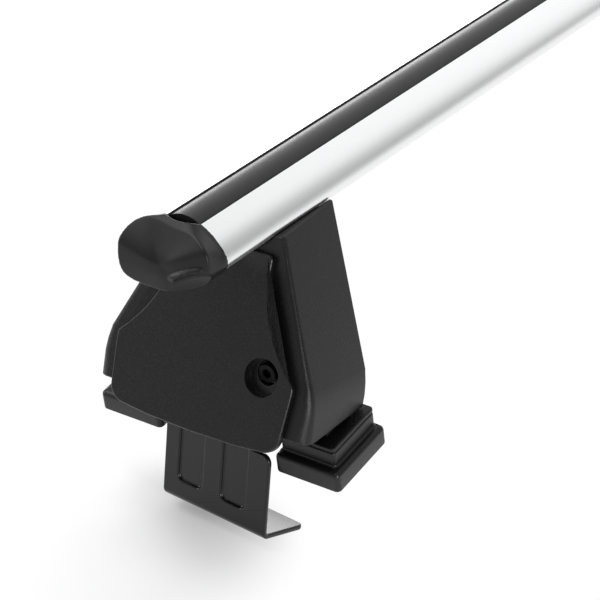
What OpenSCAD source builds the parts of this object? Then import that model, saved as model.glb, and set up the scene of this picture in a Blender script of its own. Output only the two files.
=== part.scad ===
// Roof rack crossbar: oval aluminium bar on two clamping feet with door frame hooks.
// The bar lies along X and stands on the lips of its two hooks, at Z = 0.
// Each foot is drawn in its own frame: X inboard from the end of the aluminium,
// Y across the foot, Z up from the widest level of the bar.

/* [Bar] */
// Length of the aluminium profile
bar_len = 1200; // [900:10:1400]
// Width of the oval profile
bar_w = 53.4; // [48:0.2:60]
// Height of the crown above the widest level
bar_top = 19.7; // [18:0.1:22]
// Depth of the belly below the widest level
bar_belly = 15.4; // [14:0.1:18]
// Fullness of the oval, 2 is an ellipse
bar_fullness = 1.6; // [1.5:0.05:1.8]
// Wall of the profile
bar_wall = 2.2; // [1.8:0.1:2.6]
// Opening of the upper channel
slot_w = 20.6; // [18:0.2:22]
// How far the upper channel reaches under each lip
slot_undercut = 2; // [1:0.2:3]
// Level of the lips' underside in the upper channel
slot_lip_z = 14.2; // [13:0.2:14.6]
// Depth of the upper channel below its lips
slot_depth = 4.8; // [4:0.2:6]
// Opening of the lower channel
groove_w = 6.8; // [6.4:0.2:8]
// Width inside the lower channel
groove_inner_w = 17; // [16:0.5:19]
// Height inside the lower channel
groove_depth = 6; // [5:0.2:7]

/* [Rubber strip] */
// Play of the strip in the upper channel on each side
strip_play = 0.3; // [0.2:0.05:0.5]
// Height of the strip's crown above the channel's lips
strip_crown = 4.9; // [4:0.1:6]
// Height of the strip's shoulders above the channel's lips
strip_shoulder = 3.6; // [3:0.1:4]
// Setback of the strip from the end of the aluminium
strip_setback = 1; // [0.5:0.5:4]

/* [End cap] */
// Length of the cap in front of the aluminium
cap_len = 21; // [16:0.5:26]
// How far the cap's rim stands proud of the profile
cap_proud = 0.9; // [0.4:0.1:1.4]
// Length of the cap's straight rim
cap_rim = 2.5; // [2:0.1:4]
// Length of the cap's plugs inside the profile
cap_plug = 14; // [8:1:20]
// Play of the plugs in the profile
cap_play = 0.2; // [0.1:0.05:0.4]

/* [Foot housing] */
// Lean of the front face from the vertical
front_lean = 20.5; // [16:0.5:22]
// Lean of the back face from the vertical
back_lean = 16.7; // [14:0.1:18]
// Place of the cover's face at the bar's widest level
face_x = 40.4; // [38:0.2:44]
// Depth of the foot under the bar, cover included
foot_depth = 54.6; // [50:0.2:60]
// Half width of the front face under the bar
front_top_hw = 31; // [30:0.5:34]
// Half width of the back face under the bar
back_top_hw = 27.5; // [27:0.5:31]
// Distance of the foot's sides from the side corners of the cover
base_margin = 11.5; // [10:0.5:13]
// Level of the knee on the front face
front_knee_z = -76; // [-80:1:-72]
// Level of the knee on the back face
back_knee_z = -87; // [-90:1:-82]
// Level of the base
base_z = -101.8; // [-103:0.2:-100.4]
// How far the base rises towards the front face
base_rise = 4.6; // [3:0.2:6]
// Rounding between the front face and the sides at the base
corner_r = 9; // [6:0.5:10]
// Wall of the housing
wall = 3; // [2.6:0.1:3.6]
// Gap between the saddle and the bar
saddle_gap = 0.3; // [0.2:0.05:0.4]
// Thickness of the saddle under the bar's belly
saddle_t = 8; // [7:0.5:10]

/* [Cover] */
// Thickness of the cover
cover_t = 4; // [3:0.2:5]
// Half width of the cover under the bar
cover_top_hw = 29; // [27:0.5:30]
// Half width of the cover at its corners
cover_hw = 55; // [52:0.5:56]
// Slope length from the bar's widest level to the cover's upper edge
cover_top_s = -11.8; // [-14:0.2:-11]
// Slope length to the side corners
cover_corner_s = -74; // [-78:1:-70]
// Slope length to the lower edge
cover_base_s = -112; // [-113:0.5:-106]
// Bow of the lower edge
cover_bow = 2.2; // [0:0.2:3]
// Radius of the lower corners
cover_corner_r = 10; // [6:0.5:14]
// Bevel round the cover's face
cover_bevel = 0.7; // [0.4:0.1:1.2]
// Sharpness of the sweep down each side
cover_sweep = 2.4; // [2:0.1:2.8]
// Diameter of the tool recess
recess_d = 20.4; // [18:0.2:22]
// Distance of the clamp screw from the side corner of the cover
screw_inset = 18.6; // [18:0.2:20]
// Level of the clamp screw
screw_z = -69.6; // [-72:0.2:-67]
// Distance of the screw's head behind the cover's face
screw_sunk = 4.9; // [4:0.1:6]

/* [Clamp mechanism] */
// Diameter of the clamp screw's thread
screw_d = 6; // [5:0.5:7]
// Length of the clamp screw under its head
screw_len = 32; // [28:1:36]
// Distance from the seat of the clamp screw to the barrel nut
nut_reach = 20.2; // [20:0.2:22]
// Diameter of the barrel nut
nut_d = 12; // [11:0.5:13]
// Length of the barrel nut
nut_len = 14; // [13:0.5:16]
// Diameter of the hook shaft
shaft_d = 10; // [8:0.5:12]
// Level of the hook shaft
shaft_z = -92.4; // [-94:0.2:-90]
// Thickness of the ribs
rib_t = 4; // [3:0.5:4.5]
// Radial play of the moving fits
fit_play = 0.05; // [0.02:0.01:0.1]

/* [Hook] */
// Width of the hook plate
hook_w = 72.6; // [66:0.2:73]
// Thickness of the hook plate
hook_t = 3; // [2.5:0.1:3.2]
// Place of the fold's outer edge
hook_x = 22; // [20:0.5:26]
// Offset of the hook plate from the middle of the foot
hook_y = 2; // [0:0.2:2.4]
// Level of the fold's outer edge
hook_z = -172.8; // [-180:0.2:-160]
// Lean of the hook plate from the vertical
hook_lean = 6.3; // [4:0.1:9]
// Turn of the hook plate in plan
hook_yaw = 6; // [4:0.5:8]
// Slope of the lip below the horizontal
lip_slope = 16.5; // [12:0.5:20]
// Length of the lip
lip_len = 35; // [28:0.5:40]
// Inside radius of the fold
fold_r = 2; // [1.5:0.1:4]
// Depth of the pressed ribs
bead_h = 1.8; // [1.2:0.1:2.2]
// Width of the pressed ribs
bead_w = 17; // [14:0.5:18]

/* [Pads] */
// Width of a pad across the foot
pad_w = 40; // [34:0.5:41]
// Length of a pad along the bar
pad_len = 47; // [40:0.5:48]
// Offset of both pads from the middle of the foot
pad_shift = 1.5; // [0:0.1:1.8]
// Height of a pad's sole
sole_h = 12; // [10:0.5:13]
// Height of a pad's upper block
block_h = 12; // [10:0.2:12.4]
// Setback of the upper block at the sole's outboard edge
block_front = 5.5; // [4:0.5:7]
// Setback of the upper block at the sole's inboard edge
block_rear = 2.1; // [1.5:0.1:4]
// Setback of the upper block on the side towards the hook
block_inner = 1.2; // [1:0.1:4]
// Setback of the upper block on the side away from the hook
block_outer = 4.8; // [2:0.1:6]
// Tilt of the pads
pad_tilt = 10; // [6:0.5:10.5]

/* [Hidden] */
$fn = 48;
// Longer than anything that is cut
far = 300;
// Steps round the oval and along the cover's sweep
oval_steps = 72;
sweep_steps = 14;
// Level of the bar's widest section above the floor the hooks stand on
bar_z = lip_len * sin(lip_slope) - hook_z;
bar_hw = bar_w / 2;
slot_inner_hw = slot_w / 2 + slot_undercut;
slot_floor_z = slot_lip_z - slot_depth;
groove_lip_t = 4;
groove_lip_z = groove_lip_t - bar_belly;
strip_w = slot_w - 2 * strip_play;
strip_foot_t = 2.6;
// Slopes of the foot's front and back faces
front_slope = tan(front_lean);
back_slope = tan(back_lean);
housing_x = face_x + cover_t / cos(front_lean);
back_x = face_x + foot_depth;
base_front_z = base_z + base_rise;
base_hw = cover_hw + base_margin;
horn_z = -3.4;
// Share of the corner rounding that is left at the top
corner_top = 0.25;
cavity_top_z = -bar_belly - saddle_t;
front_wall = 3;
inner_hw = base_hw - wall - 1;
// Clamp screw: its head stands on the housing's bulkhead
screw_y = screw_inset - cover_hw;
screw_s = screw_z / cos(front_lean);
head_d = screw_d * 10 / 6;
head_h = screw_d;
hex_af = screw_d * 5 / 6;
head_x = face_x + screw_z * front_slope + screw_sunk;
washer_t = 1.6;
seat_x = head_x + head_h + washer_t;
seat_t = 4.2;
seat_hw = 10;
seat_rise = 18;
opening_inset = 6;
// Ribs on both sides of the barrel nut and the hook
rib_play = 2.6;
rib_hw = nut_len / 2 - screw_y + rib_play;
// Tool recess: a collar with a floor round the screw's head
recess_wall = 1.6;
recess_depth = 6;
floor_t = 1.6;
head_play = 1.5;
nut_x = seat_x + nut_reach;
shaft_x = nut_x;
bolt_play = 0.3;
// Shaft: from a blind seat in one side of the housing to a through bore in the other
shaft_low_y = 1.4 - base_hw;
shaft_high_y = base_hw - 0.6;
ring_t = 1.2;
ring_r = shaft_d / 2 + 2.5;
ring_groove = 0.25;
// Carrier: cheeks on both sides of the barrel nut and one on the far side of the hook's neck
cheek_t = 3;
cheek_y = nut_len / 2 - cheek_t / 2;
far_cheek_y = 30.9;
carrier_t = 3;
carrier_rise = 6;
carrier_drop = 7;
carrier_eye_r = shaft_d / 2 + 4;
fork_prong = 4;
fork_play = 0.1;
// Hook: the wide plate ends in shoulders, the neck goes up into the housing
neck_y = 2.2;
shoulder_s = 49.9;
shoulder_r = 5;
lip_corner_r = 4;
neck_w = 54;
neck_top_s = 86.9;
bead_pitch = 30.4;
bead_low_s = 12.6;
bead_high_s = 62.9;
bead_r = 3.5;
bead_draw = 2;
rivet_d = 6;
rivet_pitch = 28;
rivet_s = 79.9;
rivet_head_r = 5.5;
rivet_head_t = 2.2;
// Fixing bolts: their square heads lie in the bar's lower channel
fix_d = 6;
fix_x = [52, 74];
fix_head = 10;
fix_head_t = 4.4;
fix_nut_h = 5;
fix_tail = 3;
fix_washer_r = 6;
// Pads
pad_front_x = 27.7;
pad_low_z = -133.4;
pad_corner_r = 3;
block_corner_r = 2.2;
sole_r = 2.6;
pad_plate_t = 3;
// Each pad's lug swings midway between a shaft ring and the housing's wall
lug_y = (rib_hw + rib_t + ring_t + base_hw - wall) / 2;
lug_t = 8;
lug_eye_r = shaft_d / 2 + 3.4;
lug_foot = 2;

// Outline of the bar, grown all round by a margin
function oval(grow = 0) = [for (i = [0 : oval_steps - 1])
    let (t = 360 * i / oval_steps, e = 2 / bar_fullness, b = sin(t) > 0 ? bar_top : bar_belly)
    [(bar_hw + grow) * sign(cos(t)) * pow(abs(cos(t)), e), (b + grow) * sign(sin(t)) * pow(abs(sin(t)), e)]];

// Points of an arc
function arc(centre, r, from, to, steps) = [for (i = [0 : steps])
    let (a = from + (to - from) * i / steps) centre + r * [cos(a), sin(a)]];

// Outline with its mirror image appended, from top right round to top left
function mirrored(half) = concat(half, [for (i = [len(half) - 1 : -1 : 0]) if (half[i][0] != 0)
    [-half[i][0], half[i][1]]]);

// Skin of a solid through rings that have the same number of points
module skin(rings) {
    n = len(rings[0]);
    last = len(rings) - 1;
    sides = [for (k = [0 : last - 1], i = [0 : n - 1], h = [0, 1])
        let (j = (i + 1) % n, a = k * n + i, b = k * n + j, c = a + n, d = b + n)
        h == 0 ? [a, b, d] : [a, d, c]];
    start = [[for (i = [n - 1 : -1 : 0]) i]];
    end = [[for (i = [0 : n - 1]) last * n + i]];
    polyhedron(points = [for (r = rings, p = r) p], faces = concat(start, sides, end), convexity = 6);
}

// Section drawn in Y and Z, extruded along X from x0
module along_bar(x0, length) translate([x0, 0, 0]) rotate([90, 0, 90]) linear_extrude(length) children();

// Section drawn in X and Z, extruded along Y, centred on y
module across_bar(y, width) translate([0, y, 0]) rotate([90, 0, 0])
    linear_extrude(width, center = true) children();

// Cylinders along X and Y
module rod_x(x0, length, r) translate([x0, 0, 0]) rotate([0, 90, 0]) cylinder(h = length, r = r);
module rod_y(y0, length, r) translate([0, y0, 0]) rotate([-90, 0, 0]) cylinder(h = length, r = r);

// The left foot looks outboard along -X, the right foot is the same part turned round
module at_left() translate([-bar_len / 2, 0, bar_z]) children();
module at_right() rotate([0, 0, 180]) at_left() children();

// Bar

module upper_channel() {
    translate([-slot_inner_hw, slot_floor_z]) square([2 * slot_inner_hw, slot_depth]);
    translate([-slot_w / 2, slot_floor_z]) square([slot_w, far]);
}

module lower_channel() {
    translate([-groove_inner_w / 2, groove_lip_z]) square([groove_inner_w, groove_depth]);
    translate([-groove_w / 2, groove_lip_z - far]) square([groove_w, far + groove_depth]);
}

module bar_section() {
    upper_hw = slot_inner_hw + bar_wall;
    lower_hw = groove_inner_w / 2 + bar_wall;
    lower_top = groove_lip_z + groove_depth + bar_wall;
    difference() {
        polygon(oval());
        difference() {
            polygon(oval(-bar_wall));
            translate([-upper_hw, slot_floor_z - bar_wall]) square([2 * upper_hw, far]);
            translate([-lower_hw, lower_top - far]) square([2 * lower_hw, far]);
        }
        upper_channel();
        lower_channel();
    }
}

module bar() color("silver") translate([0, 0, bar_z]) along_bar(-bar_len / 2, bar_len) bar_section();

// Rubber strip: a flat foot under the lips and a domed crown between them
module strip_section() {
    hw = strip_w / 2;
    foot_hw = slot_inner_hw - strip_play;
    foot_top = slot_lip_z - strip_play;
    foot_low = foot_top - strip_foot_t;
    shoulder = slot_lip_z + strip_shoulder;
    rise = strip_crown - strip_shoulder;
    crown_r = (hw * hw + rise * rise) / (2 * rise);
    spread = asin(hw / crown_r);
    polygon(concat(
        [[-foot_hw, foot_low], [foot_hw, foot_low], [foot_hw, foot_top], [hw, foot_top]],
        arc([0, shoulder + rise - crown_r], crown_r, 90 - spread, 90 + spread, 12),
        [[-hw, foot_top], [-foot_hw, foot_top]]));
}

module slot_strip() color([0.10, 0.10, 0.11]) translate([0, 0, bar_z])
    along_bar(strip_setback - bar_len / 2, bar_len - 2 * strip_setback) strip_section();

// End cap: a faceted nose with a scooped notch for the strip and two plugs in the profile

// Corners of the nose on one side, as shares of the cap's length, half width, and crown or belly
module cap_nose() {
    half = [[0.42, 0.36, 0.69], [0.42, 0.51, 0.66], [0.42, 0.71, 0.45], [0.64, 0.85, 0.51],
            [0.95, 0.985, 0.29], [0.95, 0.97, -0.28], [0.95, 0.815, -0.66], [0.95, 0.58, -0.8],
            [1, 0.51, 0.1], [1, 0.51, -0.49], [0.95, 0.18, -0.91]];
    points = [for (p = half, side = [-1, 1]) let (height = p[2] > 0 ? bar_top : bar_belly)
        [-cap_len * p[0], side * (bar_hw + cap_proud) * p[1], (height + cap_proud) * p[2]]];
    hull() {
        along_bar(-cap_rim, cap_rim) polygon(oval(cap_proud));
        polyhedron(points = points, faces = [[for (i = [0 : len(points) - 1]) i]]);
    }
}

module end_cap() color([0.20, 0.20, 0.21]) {
    dish_r = 22;
    dish_depth = 3;
    dish_y = 0.7 * bar_hw;
    dish_z = -0.58 * bar_belly;
    notch_r = 20;
    notch_z = slot_lip_z + 0.4;
    notch_len = 3.6;
    difference() {
        cap_nose();
        // Dished lower corners of the nose
        for (side = [-1, 1]) translate([dish_depth - cap_len - dish_r, side * dish_y, dish_z])
            sphere(r = dish_r, $fn = 96);
        // Notch that frees the strip's end
        translate([0, 0, notch_z + notch_r]) rod_x(-notch_len - 3, far, notch_r);
        along_bar(-notch_len, far) upper_channel();
    }
    for (side = [-1, 1]) along_bar(0, cap_plug) intersection() {
        polygon(oval(-bar_wall - cap_play));
        scale([side, 1]) translate([slot_inner_hw + bar_wall + cap_play, -far / 2]) square([far, far]);
    }
}

// Foot housing

function front_x(z, depth = 0) = housing_x + depth / cos(front_lean) + z * front_slope;
function rear_x(z, depth = 0) = back_x - depth / cos(back_lean) + z * back_slope;

// Radius of the rounded front corner: it grows towards the base
function corner_at(z) = corner_r * (corner_top + (1 - corner_top) * pow(z / base_z, 3));

// Half outline of the foot at a share of its depth, with a share of the corner rounding taken off
function side_profile(share, rounding) =
    let (top = front_top_hw + (back_top_hw - front_top_hw) * share,
         knee_z = front_knee_z + (back_knee_z - front_knee_z) * share,
         low_z = base_front_z + (base_z - base_front_z) * min(1, 4 * share),
         slope = (base_hw - top) / (horn_z - knee_z),
         turn = 5)
    [for (p = [[top, horn_z], [(top + base_hw) / 2, (horn_z + knee_z) / 2],
               [base_hw - slope * turn, knee_z + turn], [base_hw - 0.3 * slope * turn, knee_z - 0.4 * turn],
               [base_hw, knee_z - 1.6 * turn], [base_hw, low_z]])
        [p[0] - rounding * corner_at(p[1]), p[1]]];

// Ring of the outer skin, at a share of the corner's depth or on the back face
function foot_ring(share, rounding, depth) = [for (p = mirrored(side_profile(share, rounding)))
    [share < 1 ? front_x(p[1], depth * corner_at(p[1])) : rear_x(p[1]), p[0], p[1]]];

module foot_block() {
    turn_steps = 4;
    corner = [for (i = [0 : turn_steps]) let (a = 90 * i / turn_steps)
        foot_ring(0.2 * (1 - cos(a)), 1 - sin(a), 1 - cos(a))];
    skin(concat(corner, [foot_ring(1, 0, 0)]));
}

// Hollow of the housing, open below and towards the cover
module foot_hollow() {
    function hollow_ring(share, x_of) = [for (p = mirrored([
        [front_top_hw + 2 - wall, cavity_top_z],
        [inner_hw, share == 0 ? front_knee_z - 2 : back_knee_z - 2],
        [inner_hw, 1.3 * base_z]])) [x_of == 0 ? front_x(p[1], front_wall) : rear_x(p[1], wall), p[0], p[1]]];
    skin([hollow_ring(0, 0), hollow_ring(1, 1)]);
}

// Outline of the cover in its own leaning plane, grown by a margin
function cover_outline(grow = 0) =
    let (sweep_top = cover_top_s - 2.2,
         lower_turn = 84,
         corner = [cover_hw - 1 - cover_corner_r, cover_base_s + cover_corner_r])
    mirrored(concat(
        [[cover_top_hw - 3, cover_top_s + grow],
         [cover_top_hw - 0.9 + 0.7 * grow, cover_top_s - 0.9 + 0.7 * grow]],
        [for (i = [0 : sweep_steps]) let (u = i / sweep_steps)
            [cover_top_hw + grow + (cover_hw - cover_top_hw) * pow(u, cover_sweep),
             sweep_top + 0.7 * grow + (cover_corner_s - sweep_top - 0.7 * grow) * u]],
        [[cover_hw + 0.6 + grow, cover_corner_s - 2], [cover_hw + 0.4 + grow, cover_corner_s - 8]],
        arc(corner, cover_corner_r + grow, 0, -lower_turn, 7),
        [[0.5 * cover_hw, cover_base_s - 0.7 * cover_bow - grow], [0, cover_base_s - cover_bow - grow]]));

// Leaning plane of the cover: depth is measured square to it, inwards
module in_cover_plane(depth)
    translate([face_x, 0, 0]) rotate([0, front_lean, 0]) translate([depth, 0, 0]) children();

module cover_block(grow, depth, thickness)
    in_cover_plane(depth) rotate([90, 0, 90]) linear_extrude(thickness) polygon(cover_outline(grow));

// Round of the tool recess, square to the cover's face
module recess_rod(depth, length, r)
    in_cover_plane(depth) translate([0, screw_y, screw_s]) rod_x(0, length, r);

module housing() color([0.11, 0.11, 0.115]) {
    bore_r = shaft_d / 2 + fit_play;
    collar_play = 0.6;
    difference() {
        foot_block();
        // Saddle
        along_bar(-far, 2 * far) polygon(oval(saddle_gap));
        // Hollow, with the two ribs and the seat of the clamp screw left standing in it
        difference() {
            foot_hollow();
            for (side = [-1, 1]) translate([-far / 2, side * (rib_hw + rib_t / 2) - rib_t / 2, -far / 2])
                cube([far, rib_t, far]);
            translate([seat_x, -rib_hw - rib_t, screw_z - seat_hw])
                cube([seat_t, rib_hw + rib_t + screw_y + seat_hw, seat_hw + seat_rise]);
        }
        // Opening behind the cover, with room for the recess's collar
        intersection() {
            cover_block(-opening_inset, 0, cover_t + 2 * front_wall);
            translate([-far / 2, -far / 2, cavity_top_z - far]) cube([far, far, far]);
        }
        recess_rod(0, recess_depth + floor_t + collar_play, recess_d / 2 + recess_wall + collar_play);
        // Clamp screw
        translate([0, screw_y, screw_z]) rod_x(seat_x - 1, seat_t + 2, screw_d / 2 + bolt_play);
        // Hook shaft: a through bore on one side, a blind seat on the other
        translate([shaft_x, 0, shaft_z]) rod_y(shaft_low_y, far, bore_r);
        // Fixing bolts
        for (x = fix_x) translate([x, 0, cavity_top_z - 1])
            cylinder(h = saddle_t + 2 + saddle_gap, r = fix_d / 2 + bolt_play);
    }
}

// Cover: a flat panel with bevelled edges, a tool recess and a rim that registers in the opening
module cover() color([0.07, 0.07, 0.075]) {
    rim_grow = -opening_inset - 0.4;
    rim_t = 2;
    rim_len = 3;
    seam = 0.1;
    collar_r = recess_d / 2 + recess_wall;
    difference() {
        union() {
            in_cover_plane(0) skin([for (k = [0 : 2]) let (x = [0, cover_bevel, cover_t - seam][k])
                [for (p = cover_outline(k == 0 ? -cover_bevel : 0)) [x, p[0], p[1]]]]);
            intersection() {
                cover_block(rim_grow, cover_t - 2 * seam, rim_len + 2 * seam);
                translate([-far / 2, -far / 2, cavity_top_z - far - 0.4]) cube([far, far, far]);
            }
            recess_rod(cover_bevel, recess_depth + floor_t - cover_bevel, collar_r);
        }
        // Hollow inside the rim
        difference() {
            cover_block(rim_grow - rim_t, cover_t - seam, far);
            recess_rod(0, far, collar_r);
        }
        // Tool recess and the hole round the screw's head in its floor
        recess_rod(-1, recess_depth + 1, recess_d / 2);
        translate([0, screw_y, screw_z])
            rod_x(head_x - 2 * head_play, head_h + 3 * head_play, head_d / 2 + head_play);
        // Room for the bar
        along_bar(-far, 2 * far) polygon(oval(1));
    }
}

// Hook shaft and its retaining rings

module hook_shaft() color("silver") translate([shaft_x, 0, shaft_z]) difference() {
    rod_y(shaft_low_y, shaft_high_y - shaft_low_y, shaft_d / 2);
    for (side = [-1, 1]) translate([0, side * (rib_hw + rib_t + ring_t / 2 + 0.1), 0]) difference() {
        rod_y(-ring_t / 2 - 0.05, ring_t + 0.1, shaft_d);
        rod_y(-ring_t, 2 * ring_t, shaft_d / 2 - ring_groove);
    }
}

module shaft_rings() color("dimgray") translate([shaft_x, 0, shaft_z])
    for (side = [-1, 1]) translate([0, side * (rib_hw + rib_t + ring_t / 2 + 0.1), 0]) difference() {
        rod_y(-ring_t / 2, ring_t, ring_r);
        rod_y(-ring_t, 2 * ring_t, shaft_d / 2 - ring_groove + fit_play);
    }

// Hook: upright and lip are one pressed plate, drawn from the outer edge of the fold

module at_hook() translate([hook_x, hook_y, hook_z]) rotate([0, 0, -hook_yaw]) children();

// Sheet in the plane of the upright: outline in Y and height, from depth t0 inboard
module upright_sheet(t0, thickness)
    rotate([0, hook_lean, 0]) rotate([90, 0, 90]) translate([0, 0, t0]) linear_extrude(thickness) children();

// Waste beside the neck, down to the rounded shoulder, with the neck's edge on one side at y
module shoulder_waste(edge_y) polygon(concat(
    arc([hook_w / 2 - shoulder_r, shoulder_s - shoulder_r], shoulder_r, 0, 90, 6),
    [[edge_y, shoulder_s], [edge_y, neck_top_s + 1], [hook_w / 2 + 1, neck_top_s + 1],
     [hook_w / 2 + 1, shoulder_s - shoulder_r]]));

// Outline of one pressed rib about its own middle, grown by the draw of the press
function bead_outline(grow) =
    let (hw = bead_w / 2 - bead_r, low = bead_low_s + bead_r, high = bead_high_s - bead_r, r = bead_r + grow)
    concat(arc([hw, low], r, -90, 0, 4), arc([hw, high], r, 0, 90, 4),
        arc([-hw, high], r, 90, 180, 4), arc([-hw, low], r, 180, 270, 4));

module beads(grow)
    for (side = [-1, 1]) translate([neck_y + side * bead_pitch / 2, 0]) polygon(bead_outline(grow));

// Upright, fold and lip in section
module hook_section() {
    up = [sin(hook_lean), cos(hook_lean)];
    inward = [cos(hook_lean), -sin(hook_lean)];
    out = [cos(lip_slope), -sin(lip_slope)];
    over = [sin(lip_slope), cos(lip_slope)];
    outer_r = fold_r + hook_t;
    centre = up * outer_r / tan(45 + (lip_slope - hook_lean) / 2) + inward * outer_r;
    polygon(concat([up * neck_top_s],
        arc(centre, outer_r, 180 - hook_lean, 270 - lip_slope, 8),
        [out * lip_len, out * lip_len + over * hook_t],
        arc(centre, fold_r, 270 - lip_slope, 180 - hook_lean, 8),
        [up * neck_top_s + inward * hook_t]));
}

// Waste at one rounded corner of the lip
module lip_corner() linear_extrude(3 * hook_t) polygon(concat(
    [[lip_len + 1, hook_w / 2 + 1], [lip_len + 1, hook_w / 2 - lip_corner_r]],
    arc([lip_len - lip_corner_r, hook_w / 2 - lip_corner_r], lip_corner_r, 0, 90, 6),
    [[lip_len - lip_corner_r, hook_w / 2 + 1]]));

module hook() color([0.09, 0.09, 0.095]) at_hook() difference() {
    union() {
        across_bar(0, hook_w) hook_section();
        upright_sheet(hook_t / 2, hook_t / 2 + bead_h) beads(bead_draw);
    }
    upright_sheet(-1, 1 + bead_h) beads(0);
    upright_sheet(-1, hook_t + 2) {
        shoulder_waste(neck_y + neck_w / 2);
        mirror([1, 0]) shoulder_waste(neck_w / 2 - neck_y);
        for (side = [-1, 1]) translate([neck_y + side * rivet_pitch / 2, rivet_s]) circle(rivet_d / 2);
    }
    rotate([0, lip_slope, 0]) translate([0, 0, -hook_t])
        for (side = [0, 1]) mirror([0, side, 0]) lip_corner();
}

module hook_rivets() color("dimgray") at_hook() for (side = [-1, 1]) {
    y = neck_y + side * rivet_pitch / 2;
    upright_sheet(0, hook_t + carrier_t) translate([y, rivet_s]) circle(rivet_d / 2 - fit_play);
    upright_sheet(-rivet_head_t, rivet_head_t) translate([y, rivet_s]) circle(rivet_head_r);
    upright_sheet(hook_t + carrier_t, rivet_head_t) translate([y, rivet_s]) circle(rivet_head_r - 1);
}

// Carrier: a cross plate riveted to the hook, with eyes on the shaft and a fork for the barrel nut

module cheek_outline(y) {
    plate_x = hook_x + (shaft_z - hook_z) * tan(hook_lean) + y * tan(hook_yaw) + hook_t;
    hull() {
        translate([shaft_x, shaft_z]) circle(carrier_eye_r);
        translate([plate_x + 1, shaft_z - carrier_drop]) square([1, carrier_drop + carrier_rise]);
    }
}

module hook_carrier() color([0.22, 0.22, 0.23]) {
    near_y = screw_y - nut_len / 2;
    far_y = far_cheek_y + cheek_t / 2;
    fork_hw = nut_d / 2 + fork_play;
    plate_s = (shaft_z - hook_z) / cos(hook_lean);
    difference() {
        union() {
            intersection() {
                at_hook() upright_sheet(hook_t, carrier_t)
                    translate([-far / 2, plate_s - carrier_drop]) square([far, carrier_drop + carrier_rise]);
                translate([-far / 2, near_y, -far]) cube([far, far_y - near_y, far]);
            }
            for (y = [screw_y - cheek_y, screw_y + cheek_y, far_cheek_y])
                across_bar(y, cheek_t) cheek_outline(y);
            for (side = [-1, 1]) across_bar(screw_y + side * cheek_y, cheek_t) difference() {
                translate([shaft_x - fork_hw - fork_prong, shaft_z])
                    square([2 * (fork_hw + fork_prong), screw_z - shaft_z + nut_d / 2 + 3]);
                translate([shaft_x, screw_z]) circle(fork_hw);
                translate([shaft_x - fork_hw, screw_z]) square([2 * fork_hw, far]);
            }
        }
        translate([shaft_x, 0, shaft_z]) rod_y(-far / 2, far, shaft_d / 2 + fit_play);
        at_hook() upright_sheet(-far / 2, far) for (side = [-1, 1])
            translate([neck_y + side * rivet_pitch / 2, rivet_s]) circle(rivet_d / 2);
    }
}

// Clamp screw, washer and barrel nut

module clamp_screw() color("silver") translate([0, screw_y, screw_z]) difference() {
    union() {
        rod_x(head_x, head_h, head_d / 2);
        rod_x(head_x + head_h, washer_t + screw_len, screw_d / 2 - fit_play);
    }
    // Hexagon socket
    translate([head_x - 1, 0, 0]) rotate([0, 90, 0])
        cylinder(h = 1 + head_h / 2, r = hex_af / 2 / cos(30), $fn = 6);
}

module clamp_washer() color("silver") translate([0, screw_y, screw_z]) difference() {
    rod_x(head_x + head_h, washer_t, screw_d);
    rod_x(head_x, far, screw_d / 2 + bolt_play);
}

module barrel_nut() color("dimgray") translate([nut_x, screw_y, screw_z]) difference() {
    rod_y(-nut_len / 2, nut_len, nut_d / 2);
    rod_x(-nut_d, 2 * nut_d, screw_d / 2);
}

// Fixing bolts, washers and nuts

module fixing_bolts() color("silver") for (x = fix_x) {
    tail_z = cavity_top_z - washer_t - fix_nut_h - fix_tail;
    translate([x - fix_head / 2, -fix_head / 2, groove_lip_z]) cube([fix_head, fix_head, fix_head_t]);
    translate([x, 0, tail_z]) cylinder(h = groove_lip_z - tail_z, r = fix_d / 2 - fit_play);
}

module fixing_washers() color("silver") for (x = fix_x)
    translate([x, 0, cavity_top_z - washer_t]) difference() {
        cylinder(h = washer_t, r = fix_washer_r);
        translate([0, 0, -1]) cylinder(h = washer_t + 2, r = fix_d / 2 + bolt_play);
    }

module fixing_nuts() color("silver") for (x = fix_x)
    translate([x, 0, cavity_top_z - washer_t - fix_nut_h]) difference() {
        cylinder(h = fix_nut_h, r = fix_d * 10 / 12 / cos(30), $fn = 6);
        translate([0, 0, -1]) cylinder(h = fix_nut_h + 2, r = fix_d / 2);
    }

// Pads: a rubber sole and block under a stiff plate whose lug swings on the shaft

module at_pad(side) translate([pad_front_x, side * lug_y + pad_shift, pad_low_z]) rotate([0, -pad_tilt, 0])
    children();

// Block between two corners in plan, with rounded upright edges and a rounded top edge
module soft_block(low, high, height, corner, top_r)
    hull() for (x = [low[0] + corner, high[0] - corner], y = [low[1] + corner, high[1] - corner])
        for (a = [0 : 30 : 90]) translate([x, y, 0])
            cylinder(h = height - top_r * (1 - sin(a)), r = corner - top_r * (1 - cos(a)), $fn = 32);

// Upper block: set back from the sole, least on the side towards the hook
module upper_block(side, height, top_r) {
    inner = block_inner - pad_w / 2;
    outer = pad_w / 2 - block_outer;
    soft_block([block_front, min(side * inner, side * outer)],
        [pad_len - block_rear, max(side * inner, side * outer)], height, block_corner_r, top_r);
}

module pad(side) color([0.08, 0.08, 0.085]) at_pad(side) {
    soft_block([0, -pad_w / 2], [pad_len, pad_w / 2], sole_h, pad_corner_r, sole_r);
    translate([0, 0, sole_h - 1]) upper_block(side, block_h - pad_plate_t + 1, 0);
}

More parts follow.
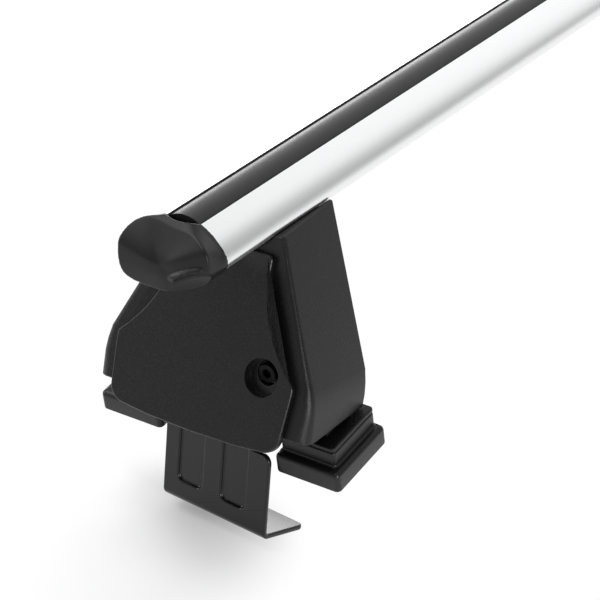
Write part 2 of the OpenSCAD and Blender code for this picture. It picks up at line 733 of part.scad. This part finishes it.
module pad_carrier(side) color([0.12, 0.12, 0.125]) difference() {
    plate_top_z = pad_low_z + (shaft_x - pad_front_x) * tan(pad_tilt) + (sole_h + block_h) / cos(pad_tilt);
    union() {
        at_pad(side) translate([0, 0, sole_h + block_h - pad_plate_t]) upper_block(side, pad_plate_t, 0.8);
        across_bar(side * lug_y, lug_t) hull() {
            translate([shaft_x, shaft_z]) circle(lug_eye_r);
            translate([shaft_x, plate_top_z - pad_plate_t / 2]) rotate(pad_tilt)
                square([2 * (lug_eye_r + lug_foot), pad_plate_t / 2], center = true);
        }
    }
    translate([shaft_x, 0, shaft_z]) rod_y(-far / 2, far, shaft_d / 2 + fit_play);
}

bar();
slot_strip();
at_left() end_cap();  // left_end_cap
at_right() end_cap();  // right_end_cap
at_left() housing();  // left_housing
at_left() cover();  // left_cover
at_left() hook_shaft();  // left_hook_shaft
at_left() shaft_rings();  // left_shaft_rings
at_left() fixing_bolts();  // left_fixing_bolts
at_left() fixing_washers();  // left_fixing_washers
at_left() fixing_nuts();  // left_fixing_nuts
at_left() hook();  // left_hook
at_left() hook_carrier();  // left_hook_carrier
at_left() hook_rivets();  // left_hook_rivets
at_left() clamp_screw();  // left_clamp_screw
at_left() clamp_washer();  // left_clamp_washer
at_left() barrel_nut();  // left_barrel_nut
at_left() pad(1);  // left_fore_pad
at_left() pad_carrier(1);  // left_fore_pad_carrier
at_left() pad(-1);  // left_aft_pad
at_left() pad_carrier(-1);  // left_aft_pad_carrier
at_right() housing();  // right_housing
at_right() cover();  // right_cover
at_right() hook_shaft();  // right_hook_shaft
at_right() shaft_rings();  // right_shaft_rings
at_right() fixing_bolts();  // right_fixing_bolts
at_right() fixing_washers();  // right_fixing_washers
at_right() fixing_nuts();  // right_fixing_nuts
at_right() hook();  // right_hook
at_right() hook_carrier();  // right_hook_carrier
at_right() hook_rivets();  // right_hook_rivets
at_right() clamp_screw();  // right_clamp_screw
at_right() clamp_washer();  // right_clamp_washer
at_right() barrel_nut();  // right_barrel_nut
at_right() pad(-1);  // right_fore_pad
at_right() pad_carrier(-1);  // right_fore_pad_carrier
at_right() pad(1);  // right_aft_pad
at_right() pad_carrier(1);  // right_aft_pad_carrier
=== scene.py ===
"""Roof rack crossbar: an oval aluminium bar on two clamping feet, on a pale studio floor.

Lengths are in metres and places are in the part's frame. Grain is in cells per metre.
"""
import math

import bpy
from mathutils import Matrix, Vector


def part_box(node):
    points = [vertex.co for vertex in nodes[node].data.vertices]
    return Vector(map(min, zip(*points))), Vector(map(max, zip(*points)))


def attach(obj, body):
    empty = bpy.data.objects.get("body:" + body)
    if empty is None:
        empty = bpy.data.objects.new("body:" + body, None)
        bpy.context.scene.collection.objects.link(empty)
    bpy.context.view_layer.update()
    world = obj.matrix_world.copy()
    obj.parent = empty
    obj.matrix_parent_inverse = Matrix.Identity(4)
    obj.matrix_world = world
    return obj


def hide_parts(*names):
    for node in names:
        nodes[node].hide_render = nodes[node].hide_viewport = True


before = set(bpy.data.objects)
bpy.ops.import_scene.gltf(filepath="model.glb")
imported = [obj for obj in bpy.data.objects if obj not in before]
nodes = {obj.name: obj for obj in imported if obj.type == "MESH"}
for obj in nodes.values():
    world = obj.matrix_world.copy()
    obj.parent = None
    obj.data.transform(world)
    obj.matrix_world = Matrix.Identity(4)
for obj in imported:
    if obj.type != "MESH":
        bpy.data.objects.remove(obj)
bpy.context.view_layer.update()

# Bar: an extruded aluminium profile, blasted and anodised in natural silver.
# The die breaks the edges of the channels and leaves very fine lines along the bar.


class Signal:
    """A shader socket that Python expressions can work on."""

    def __init__(self, tree, socket=None):
        self.tree = tree
        self.socket = socket

    def node(self, kind, sockets=None, out=0, **settings):
        """Adds a node: its settings first, then its sockets' values and links."""
        made = self.tree.nodes.new(kind)
        for name, value in settings.items():
            setattr(made, name, value)
        for name, value in (sockets or {}).items():
            if isinstance(value, Signal):
                self.tree.links.new(value.socket, made.inputs[name])
            else:
                made.inputs[name].default_value = value
        return Signal(self.tree, made.outputs[out])

    def maths(self, operation, first, second):
        return self.node("ShaderNodeMath", {0: first, 1: second}, operation=operation)

    def __add__(self, other):
        return self.maths("ADD", self, other)

    def __radd__(self, other):
        return self.maths("ADD", other, self)

    def __mul__(self, other):
        return self.maths("MULTIPLY", self, other)

    def __rmul__(self, other):
        return self.maths("MULTIPLY", other, self)


def new_finish(name, metallic=0.0, specular=0.5, coat=0.0, coat_roughness=0.1):
    """Makes a material and returns it with its shader and its object coordinates."""
    made = bpy.data.materials.new(name)
    made.use_nodes = True
    shader = made.node_tree.nodes["Principled BSDF"]
    shader.inputs["Metallic"].default_value = metallic
    shader.inputs["Specular IOR Level"].default_value = specular
    shader.inputs["Coat Weight"].default_value = coat
    shader.inputs["Coat Roughness"].default_value = coat_roughness
    place = Signal(made.node_tree).node("ShaderNodeTexCoord", out="Object")
    return made, shader, place


def feed(shader, **signals):
    """Links signals to the shader's sockets: an underscore stands for a space."""
    for name, signal in signals.items():
        signal.tree.links.new(signal.socket, shader.inputs[name.replace("_", " ")])


def tint(signal, dark, light):
    """Colour between two tones, led by a signal from 0 to 1."""
    return signal.node("ShaderNodeMix", {"Factor": signal, "A": (*dark, 1), "B": (*light, 1)},
                       out=2, data_type="RGBA")


def grain(place, cells, detail=2.0, stretch=None):
    """Irregular grain from 0 to 1, finer along each direction that is stretched."""
    if stretch:
        place = place.node("ShaderNodeMapping", {"Vector": place, "Scale": stretch})
    return place.node("ShaderNodeTexNoise", {"Vector": place, "Scale": cells, "Detail": detail})


def relief(height, strength, depth=0.0002):
    """Raises a surface by a signal, to a depth at full strength."""
    return height.node("ShaderNodeBump",
                       {"Height": height, "Strength": strength, "Distance": depth})


def select_only(piece):
    bpy.ops.object.select_all(action="DESELECT")
    piece.select_set(True)
    bpy.context.view_layer.objects.active = piece


def merged_copy(name, weld=1e-5, flat_degrees=0.6):
    """Copies a CAD node as one merged shell in large flat faces, selected and active."""
    shell = bpy.data.objects.new(name + "_shell", nodes[name].data.copy())
    bpy.context.collection.objects.link(shell)
    select_only(shell)
    shell.data.materials.clear()
    bpy.ops.mesh.customdata_custom_splitnormals_clear()
    bpy.ops.object.mode_set(mode="EDIT")
    bpy.ops.mesh.select_all(action="SELECT")
    bpy.ops.mesh.remove_doubles(threshold=weld)
    bpy.ops.mesh.dissolve_limited(angle_limit=math.radians(flat_degrees))
    bpy.ops.mesh.select_all(action="DESELECT")
    bpy.ops.object.mode_set(mode="OBJECT")
    return shell


def apply_modifier(piece, kind, **settings):
    """Adds a modifier with its settings and applies it."""
    made = piece.modifiers.new(kind.lower(), kind)
    for name, value in settings.items():
        setattr(made, name, value)
    bpy.context.view_layer.objects.active = piece
    bpy.ops.object.modifier_apply(modifier=made.name)


def shade(piece, degrees=40):
    """Shades a piece smooth over its small angles, with its flat faces left flat."""
    select_only(piece)
    bpy.ops.object.shade_smooth_by_angle(angle=math.radians(degrees))
    apply_modifier(piece, "WEIGHTED_NORMAL", keep_sharp=True)


def break_edges(piece, radius, sharper_than=32, steps=2):
    """Rounds the edges of a piece that are sharper than an angle in degrees."""
    apply_modifier(piece, "BEVEL", width=radius, segments=steps, limit_method="ANGLE",
                   angle_limit=math.radians(sharper_than), use_clamp_overlap=False)
    shade(piece)


silver_dark, silver_light = (0.83, 0.835, 0.84), (0.88, 0.885, 0.89)
drawn_out = (2.0, 900.0, 900.0)
channel_edge = 0.0003

anodised, shader, place = new_finish("anodised aluminium", metallic=1.0)
die_lines = grain(place, 1.0, stretch=drawn_out)
blasting = grain(place, 2600.0, detail=1.0)
feed(shader,
     Base_Color=tint(die_lines, silver_dark, silver_light),
     Roughness=0.30 + 0.08 * die_lines,
     Normal=relief(blasting + 0.4 * die_lines, strength=0.06))
bar = merged_copy("bar")
break_edges(bar, channel_edge)
bar.data.materials.append(anodised)
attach(bar, "crossbar")
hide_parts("bar")

# Rubber strip: extruded EPDM, pushed into the upper channel under both lips.
# It has round shoulders and a smooth crown with a satin skin.

strip_black, strip_bloomed = (0.006, 0.006, 0.0063), (0.012, 0.012, 0.0125)
strip_streaks = (12.0, 260.0, 260.0)
strip_sides = 96
strip_half = 0.0102
strip_rise = 0.0058
strip_fullness = 2.1


def settle(piece):
    """Puts a piece's place, turn and size into its mesh."""
    select_only(piece)
    bpy.ops.object.transform_apply(location=True, rotation=True, scale=True)


def full_oval(share, fullness):
    """One coordinate of a unit circle, drawn out to an oval: 2 is round and more is squarer."""
    return math.copysign(abs(share) ** (2 / fullness), share)


strip_rubber, shader, place = new_finish("strip rubber", specular=0.3)
bloom = grain(place, 1.0, detail=3.0, stretch=strip_streaks)
skin = grain(place, 1500.0)
feed(shader,
     Base_Color=tint(bloom, strip_black, strip_bloomed),
     Roughness=0.26 + 0.12 * bloom,
     Normal=relief(skin, strength=0.12))
strip_low, strip_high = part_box("slot_strip")
bpy.ops.object.select_all(action="DESELECT")
bpy.ops.mesh.primitive_cylinder_add(vertices=strip_sides, radius=1.0,
                                    depth=strip_high[0] - strip_low[0],
                                    rotation=(0, math.pi / 2, 0))
strip = bpy.context.object
settle(strip)
for vertex in strip.data.vertices:
    vertex.co.y = full_oval(vertex.co.y, strip_fullness) * strip_half
    vertex.co.z = strip_high[2] - strip_rise + full_oval(vertex.co.z, strip_fullness) * strip_rise
shade(strip)
strip.data.materials.append(strip_rubber)
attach(strip, "crossbar")
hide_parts("slot_strip")

# End caps: soft moulded plastic, with plugs pushed into the profile's side chambers.
# Each nose swells from the profile into a blunt crowned face. It is notched for the strip,
# and dished at one lower corner under a rounded ridge.

cap_dark, cap_light = (0.0045, 0.0045, 0.0047), (0.0065, 0.0065, 0.0068)
bar_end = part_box("bar")[0][0]
belly_rise = 0.0154
bar_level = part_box("bar")[0][2] + belly_rise
# The rim follows the profile: its half width, and its reach above and below the widest level
cap_ways = 32
cap_rim = 0.0025
cap_half, cap_top, cap_belly = 0.0276, 0.0206, 0.0163
cap_fullness = 1.6
# The face's edge, from the bar's +Y side over its top and back below: length from the bar's
# end, Y and height from the widest level, in millimetres
cap_edge = ((-19.2, 27.5, 1.5), (-18.0, 27.6, 6.4), (-12.0, 24.8, 13.0), (-6.5, 16.6, 17.6),
            (-9.3, 0.0, 15.7), (-10.5, -12.8, 16.2), (-14.5, -22.8, 13.0), (-15.5, -26.0, 8.5),
            (-15.5, -26.0, 1.5), (-14.5, -24.8, -4.5), (-14.5, -19.5, -12.0),
            (-16.5, -10.0, -15.5), (-18.0, 0.0, -16.2), (-18.0, 11.0, -16.3),
            (-18.5, 22.8, -14.4), (-19.3, 27.0, -8.2))
cap_centre = Vector((-20.3, 1.0, -1.5)) / 1000
face_shares = (1.0, 0.82, 0.55, 0.25)
face_crown = 1.3
# Sharpness of each ring of the nose, from the rim to the middle of the face
ring_creases = (1.0, 1.0, 0.75, 0, 0, 0)
just_before = 0.01
voxel = 0.0006
plug_overlap = 0.001
# The ridge runs between two marks on the nose, given as Y and height
ridge_marks = ((-0.0060, -0.0062), (-0.0215, 0.0014))
ridge_radius = 0.0024
ridge_proud = 0.0004
ridge_share = 0.62
well_outside = 0.05
# The scoop that cuts the dish, and the egg that cuts the notch for the strip's end
scoop_half = (0.0144, 0.0144, 0.026)
scoop_centre = (-0.0236, -0.0215, -0.0140)
notch_half = (0.0095, 0.0150, 0.0075)
notch_inset, notch_height = 0.003, 0.022


def cap_ring(step):
    """Points of one ring of the nose: 0 and 1 are the rim, 2 and more lie on the face."""
    ring = []
    for way in range(cap_ways):
        turn = math.tau * way / cap_ways
        across, up = math.cos(turn), math.sin(turn)
        if step < 2:
            reach = cap_top if up > 0 else cap_belly
            ring.append(Vector((-cap_rim * step, full_oval(across, cap_fullness) * cap_half,
                                full_oval(up, cap_fullness) * reach)))
            continue
        near = [Vector(cap_edge[(way // 2 + shift) % len(cap_edge)]) / 1000
                for shift in (-1, 0, 1, 2)]
        on_mark = way % 2 == 0
        # Between two marks the edge runs on a smooth curve through the four nearest ones
        edge = near[1] if on_mark else (9 * (near[1] + near[2]) - near[0] - near[3]) / 16
        share = face_shares[step - 2]
        point = cap_centre.lerp(edge, share)
        point.x = cap_centre.x + (edge.x - cap_centre.x) * share ** face_crown
        ring.append(point)
    return ring


def ellipsoid(half, centre, along=None, segments=64, rings=32):
    """Adds an ellipsoid, with its third half axis along a line if one is given."""
    bpy.ops.object.select_all(action="DESELECT")
    bpy.ops.mesh.primitive_uv_sphere_add(segments=segments, ring_count=rings, radius=1.0)
    made = bpy.context.object
    if along:
        made.rotation_mode = "QUATERNION"
        made.rotation_quaternion = along.to_track_quat("Z", "Y")
    made.scale = half
    made.location = centre
    settle(made)
    return made


def cut(piece, tool):
    """Takes the tool's volume out of a piece."""
    apply_modifier(piece, "BOOLEAN", operation="DIFFERENCE", solver="EXACT", object=tool)
    bpy.data.objects.remove(tool)


cap_plastic, shader, place = new_finish("cap plastic", specular=0.26)
erosion = grain(place, 1700.0, detail=3.0)
flow = grain(place, 60.0)
feed(shader,
     Base_Color=tint(flow, cap_dark, cap_light),
     Roughness=0.33 + 0.10 * erosion,
     Normal=relief(erosion, strength=0.08))
bpy.ops.object.select_all(action="DESELECT")
bpy.ops.mesh.primitive_circle_add(vertices=cap_ways, radius=cap_half, fill_type="NGON",
                                  rotation=(0, -math.pi / 2, 0))
nose = bpy.context.object
settle(nose)
for step in range(len(ring_creases)):
    bpy.ops.object.mode_set(mode="EDIT")
    if step > 0:
        bpy.ops.mesh.extrude_region_move()
    bpy.ops.object.mode_set(mode="OBJECT")
    # The new ring still lies on the last one: its points are put in order round their middle
    hub = cap_centre if step > 3 else Vector((0, 0, 0))
    chosen = [vertex for vertex in nose.data.vertices if vertex.select]
    chosen.sort(key=lambda vertex: (math.atan2(vertex.co.z - hub.z, vertex.co.y - hub.y)
                                    + just_before) % math.tau)
    for vertex, point in zip(chosen, cap_ring(step)):
        vertex.co = point
bpy.ops.object.mode_set(mode="EDIT")
bpy.ops.mesh.select_all(action="SELECT")
bpy.ops.mesh.normals_make_consistent(inside=False)
bpy.ops.object.mode_set(mode="OBJECT")
crease = nose.data.attributes.new("crease_edge", "FLOAT", "EDGE")
for edge in nose.data.edges:
    # Points are numbered ring by ring, and only edges along a ring are creased
    first, second = (number // cap_ways for number in edge.vertices)
    crease.data[edge.index].value = ring_creases[first] if first == second else 0
apply_modifier(nose, "SUBSURF", levels=3, render_levels=3)
nose.location = (bar_end, 0, bar_level)
settle(nose)
ridge_ends = []
for across, up in ridge_marks:
    outside = Vector((bar_end - well_outside, across, bar_level + up))
    found, spot, normal, face = nose.ray_cast(outside, Vector((1, 0, 0)))
    ridge_ends.append(spot + ridge_proud * normal)
ridge_line = ridge_ends[1] - ridge_ends[0]
ridge = ellipsoid((ridge_radius, ridge_radius, ridge_line.length * ridge_share),
                  (ridge_ends[0] + ridge_ends[1]) / 2, along=ridge_line, segments=32, rings=24)
plugs = merged_copy("left_end_cap")
bpy.ops.object.mode_set(mode="EDIT")
bpy.ops.mesh.select_all(action="SELECT")
bpy.ops.mesh.bisect(plane_co=(bar_end - plug_overlap, 0, 0), plane_no=(1, 0, 0),
                    use_fill=True, clear_inner=True)
bpy.ops.object.mode_set(mode="OBJECT")
bpy.ops.object.select_all(action="DESELECT")
for part in (ridge, plugs, nose):
    part.select_set(True)
bpy.context.view_layer.objects.active = nose
bpy.ops.object.join()
apply_modifier(nose, "REMESH", mode="VOXEL", voxel_size=voxel)
scoop_place = Vector((bar_end, 0, bar_level)) + Vector(scoop_centre)
cut(nose, ellipsoid(scoop_half, scoop_place, along=ridge_line, segments=96, rings=48))
cut(nose, ellipsoid(notch_half, (bar_end + notch_inset, 0, bar_level + notch_height)))
apply_modifier(nose, "REMESH", mode="VOXEL", voxel_size=voxel)
apply_modifier(nose, "SMOOTH", factor=0.5, iterations=5)
for name, turn in (("left_end_cap", 0), ("right_end_cap", math.pi)):
    cap = nose.copy()
    cap.data = nose.data.copy()
    cap.name = name + "_moulding"
    bpy.context.collection.objects.link(cap)
    cap.rotation_euler = (0, 0, turn)
    settle(cap)
    shade(cap, degrees=60)
    cap.data.materials.clear()
    cap.data.materials.append(cap_plastic)
    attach(cap, "crossbar")
    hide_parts(name)
bpy.data.objects.remove(nose)

# Foot housings: black moulded plastic with a spark-eroded grain.
# Each one bears the bar in its saddle and hangs from two bolts in the lower channel.

housing_dark, housing_light = (0.0002, 0.0002, 0.0003), (0.0095, 0.0095, 0.0099)
housing_grain_depth = 0.00012
housing_edge = 0.0009
sides = ("left_", "right_")

housing_plastic, shader, place = new_finish("housing plastic", specular=0.33)
pits = place.node("ShaderNodeTexVoronoi", {"Vector": place, "Scale": 1900.0})
fine = grain(place, 1700.0)
flow = grain(place, 40.0)
feed(shader,
     Base_Color=tint(0.3 * flow + fine * fine, housing_dark, housing_light),
     Roughness=0.30 + 0.10 * fine,
     Normal=relief(fine + 0.6 * pits, strength=0.7, depth=housing_grain_depth))
for side in sides:
    housing = merged_copy(side + "housing")
    break_edges(housing, housing_edge, steps=3)
    housing.data.materials.append(housing_plastic)
    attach(housing, side + "foot")
    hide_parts(side + "housing")

# Covers: flat panels of the same black plastic in a finer, speckled grain, clipped into the
# housings. A bevel runs round each panel, and a round recess lets the tool in to the clamp
# screw.

cover_dark, cover_speck = (0.0006, 0.0006, 0.0007), (0.058, 0.058, 0.0595)
cover_edge = 0.0003

cover_plastic, shader, place = new_finish("cover plastic", specular=0.38)
fine = grain(place, 1300.0, detail=3.0)
specks = fine * fine * fine * fine * fine
flow = grain(place, 30.0)
feed(shader,
     Base_Color=tint(0.02 * flow + specks, cover_dark, cover_speck),
     Roughness=0.24 + 0.16 * fine,
     Normal=relief(fine, strength=0.45))
for side in sides:
    cover = merged_copy(side + "cover")
    break_edges(cover, cover_edge)
    cover.data.materials.append(cover_plastic)
    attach(cover, side + "foot")
    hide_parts(side + "cover")

# Hooks: sheet steel, blanked, pressed with a pair of ribs and folded, then coated in gloss
# black. Each one is riveted to the carrier that swings on the hook shaft.

coat_dark, coat_light = (0.003, 0.003, 0.003), (0.005, 0.005, 0.005)
hook_edge = 0.0011

black_coat, shader, place = new_finish("gloss black coat", specular=0.1, coat=0.5,
                                       coat_roughness=0.08)
peel = grain(place, 420.0, detail=1.0)
dust = grain(place, 900.0, detail=4.0)
feed(shader,
     Base_Color=tint(dust, coat_dark, coat_light),
     Roughness=0.14 + 0.10 * dust,
     Normal=relief(peel, strength=0.05))
for side in sides:
    hook = merged_copy(side + "hook")
    break_edges(hook, hook_edge, sharper_than=25, steps=3)
    hook.data.materials.append(black_coat)
    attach(hook, side + "hook")
    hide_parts(side + "hook")

# Pads: black rubber soles bonded under stiff plates, whose lugs swing on the hook shaft.
# The rubber is moulded in one piece, with a step all round and soft edges.

pad_dark, pad_light = (0.004, 0.004, 0.0042), (0.0065, 0.0065, 0.0068)
pad_edge = 0.0012

pad_rubber, shader, place = new_finish("pad rubber", specular=0.36)
pits = place.node("ShaderNodeTexVoronoi", {"Vector": place, "Scale": 1200.0})
fine = grain(place, 900.0, detail=3.0)
flow = grain(place, 50.0)
feed(shader,
     Base_Color=tint(flow, pad_dark, pad_light),
     Roughness=0.27 + 0.12 * fine,
     Normal=relief(fine + 0.5 * pits, strength=0.25))
for pad_name in ("left_fore_pad", "left_aft_pad", "right_fore_pad", "right_aft_pad"):
    for part, finish, slot in (("", pad_rubber, "pad_rubber"),
                               ("_carrier", housing_plastic, "housing_plastic")):
        pad = merged_copy(pad_name + part)
        break_edges(pad, pad_edge, steps=3)
        pad.data.materials.append(finish)
        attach(pad, pad_name + "_unit")
        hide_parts(pad_name + part)

# Steel inside the feet: turned and stamped pieces, zinc plated or phosphated black.
# The clamp screw draws the barrel nut, and the nut swings the carrier with its hook.

zinc_dark, zinc_light = (0.50, 0.50, 0.50), (0.62, 0.62, 0.62)
phosphate_dark, phosphate_light = (0.012, 0.012, 0.0125), (0.022, 0.022, 0.023)

zinc, shader, place = new_finish("zinc plate", metallic=1.0)
patch = grain(place, 500.0, detail=3.0)
feed(shader,
     Base_Color=tint(patch, zinc_dark, zinc_light),
     Roughness=0.25 + 0.2 * patch,
     Normal=relief(patch, strength=0.05))
phosphate, shader, place = new_finish("phosphated steel", metallic=1.0)
crystal = grain(place, 900.0, detail=3.0)
feed(shader,
     Base_Color=tint(crystal, phosphate_dark, phosphate_light),
     Roughness=0.42 + 0.2 * crystal,
     Normal=relief(crystal, strength=0.08))
steel_parts = {"fixing_bolts": zinc, "fixing_washers": zinc, "fixing_nuts": zinc,
               "hook_shaft": phosphate, "shaft_rings": phosphate, "hook_carrier": phosphate,
               "hook_rivets": phosphate, "barrel_nut": phosphate, "clamp_screw": phosphate,
               "clamp_washer": phosphate}
for side in sides:
    for part, finish in steel_parts.items():
        mesh = nodes[side + part].data
        mesh.materials.clear()
        mesh.materials.append(finish)

# Studio: a white paper floor that takes a soft shadow only round the near hook, and five
# large soft lights in a pale room.

floor_size = 40.0
floor_white = (0.88, 0.88, 0.88)
floor_glow = 1.02
shadow_centre = (-0.63, 0.045)
shadow_from, shadow_to = 0.05, 0.125
room_brightness = 0.42

paper, shader, place = new_finish("studio paper", specular=0.0)
shader.inputs["Base Color"].default_value = (*floor_white, 1)
shader.inputs["Roughness"].default_value = 1.0
near_hook = place.node("ShaderNodeMapping",
                       {"Vector": place, "Location": (-shadow_centre[0], -shadow_centre[1], 0)})
spread = near_hook.node("ShaderNodeVectorMath", {0: near_hook}, out="Value", operation="LENGTH")
clear = spread.node("ShaderNodeMapRange",
                    {"Value": spread, "From Min": shadow_from, "From Max": shadow_to},
                    interpolation_type="SMOOTHSTEP")
glow = clear.node("ShaderNodeEmission", {"Color": (1, 1, 1, 1), "Strength": floor_glow})
matt = Signal(paper.node_tree, shader.outputs[0])
blend = clear.node("ShaderNodeMixShader", {0: clear, 1: matt, 2: glow})
surface = paper.node_tree.nodes["Material Output"].inputs["Surface"]
paper.node_tree.links.new(blend.socket, surface)
bpy.ops.object.select_all(action="DESELECT")
bpy.ops.mesh.primitive_plane_add(size=floor_size, location=(0, 0, 0))
floor = bpy.context.object
floor.name = "studio_floor"
floor.data.materials.append(paper)


def softbox(name, place, aim, width, height, brightness):
    """Adds a rectangular light of even brightness, seen in reflections but not by the camera."""
    light = bpy.data.lights.new(name, "AREA")
    light.shape, light.size, light.size_y = "RECTANGLE", width, height
    light.energy = brightness * math.pi * width * height
    lamp = bpy.data.objects.new(name, light)
    bpy.context.collection.objects.link(lamp)
    lamp.location = place
    lamp.rotation_mode = "QUATERNION"
    lamp.rotation_quaternion = (Vector(aim) - Vector(place)).to_track_quat("-Z", "Y")
    lamp.visible_camera = False


softbox("overhead", place=(-0.75, 0.45, 1.25), aim=(-0.55, 0, 0.1),
        width=1.2, height=0.9, brightness=3.0)
softbox("back panel", place=(1.5, 0.45, 1.3), aim=(-0.5, 0.45, 0.15),
        width=3.5, height=2.0, brightness=0.78)
softbox("low panel at the back", place=(0.42, 0.86, 0.30), aim=(-0.56, 0, 0.19),
        width=0.9, height=0.26, brightness=4.5)
softbox("low panel at the left", place=(-1.0, 0.88, 0.45), aim=(-0.61, 0, 0.18),
        width=0.5, height=0.35, brightness=5.0)
softbox("strip at the right", place=(-1.15, -1.14, 0.30), aim=(-0.58, -0.03, 0.1),
        width=0.28, height=0.60, brightness=15.0)

world = bpy.data.worlds.new("studio")
world.use_nodes = True
background = world.node_tree.nodes["Background"]
background.inputs["Color"].default_value = (1, 1, 1, 1)
background.inputs["Strength"].default_value = room_brightness
bpy.context.scene.world = world
bpy.context.scene.view_settings.view_transform = "Standard"

# Camera: a long lens without roll, that looks down past the left end along the bar.
# It is placed by its aim on the left foot, its distance and its two angles in degrees.

camera_aim = Vector((-0.5785, -0.0554, bar_level - 0.022))
camera_distance = 1.28
camera_turn, camera_fall = math.radians(33.85), math.radians(28.86)
camera_near, camera_far = 0.05, 20
sensor_width = 36
frame_pixels = 600
focal_pixels = 2562

look = Vector((math.cos(camera_turn) * math.cos(camera_fall),
               math.sin(camera_turn) * math.cos(camera_fall),
               -math.sin(camera_fall)))
camera_data = bpy.data.cameras.new("camera")
camera_data.sensor_width = sensor_width
camera_data.lens = sensor_width * focal_pixels / frame_pixels
camera_data.clip_start, camera_data.clip_end = camera_near, camera_far
camera = bpy.data.objects.new("camera", camera_data)
bpy.context.collection.objects.link(camera)
camera.location = camera_aim - look * camera_distance
camera.rotation_mode = "QUATERNION"
camera.rotation_quaternion = look.to_track_quat("-Z", "Y")
bpy.context.scene.camera = camera
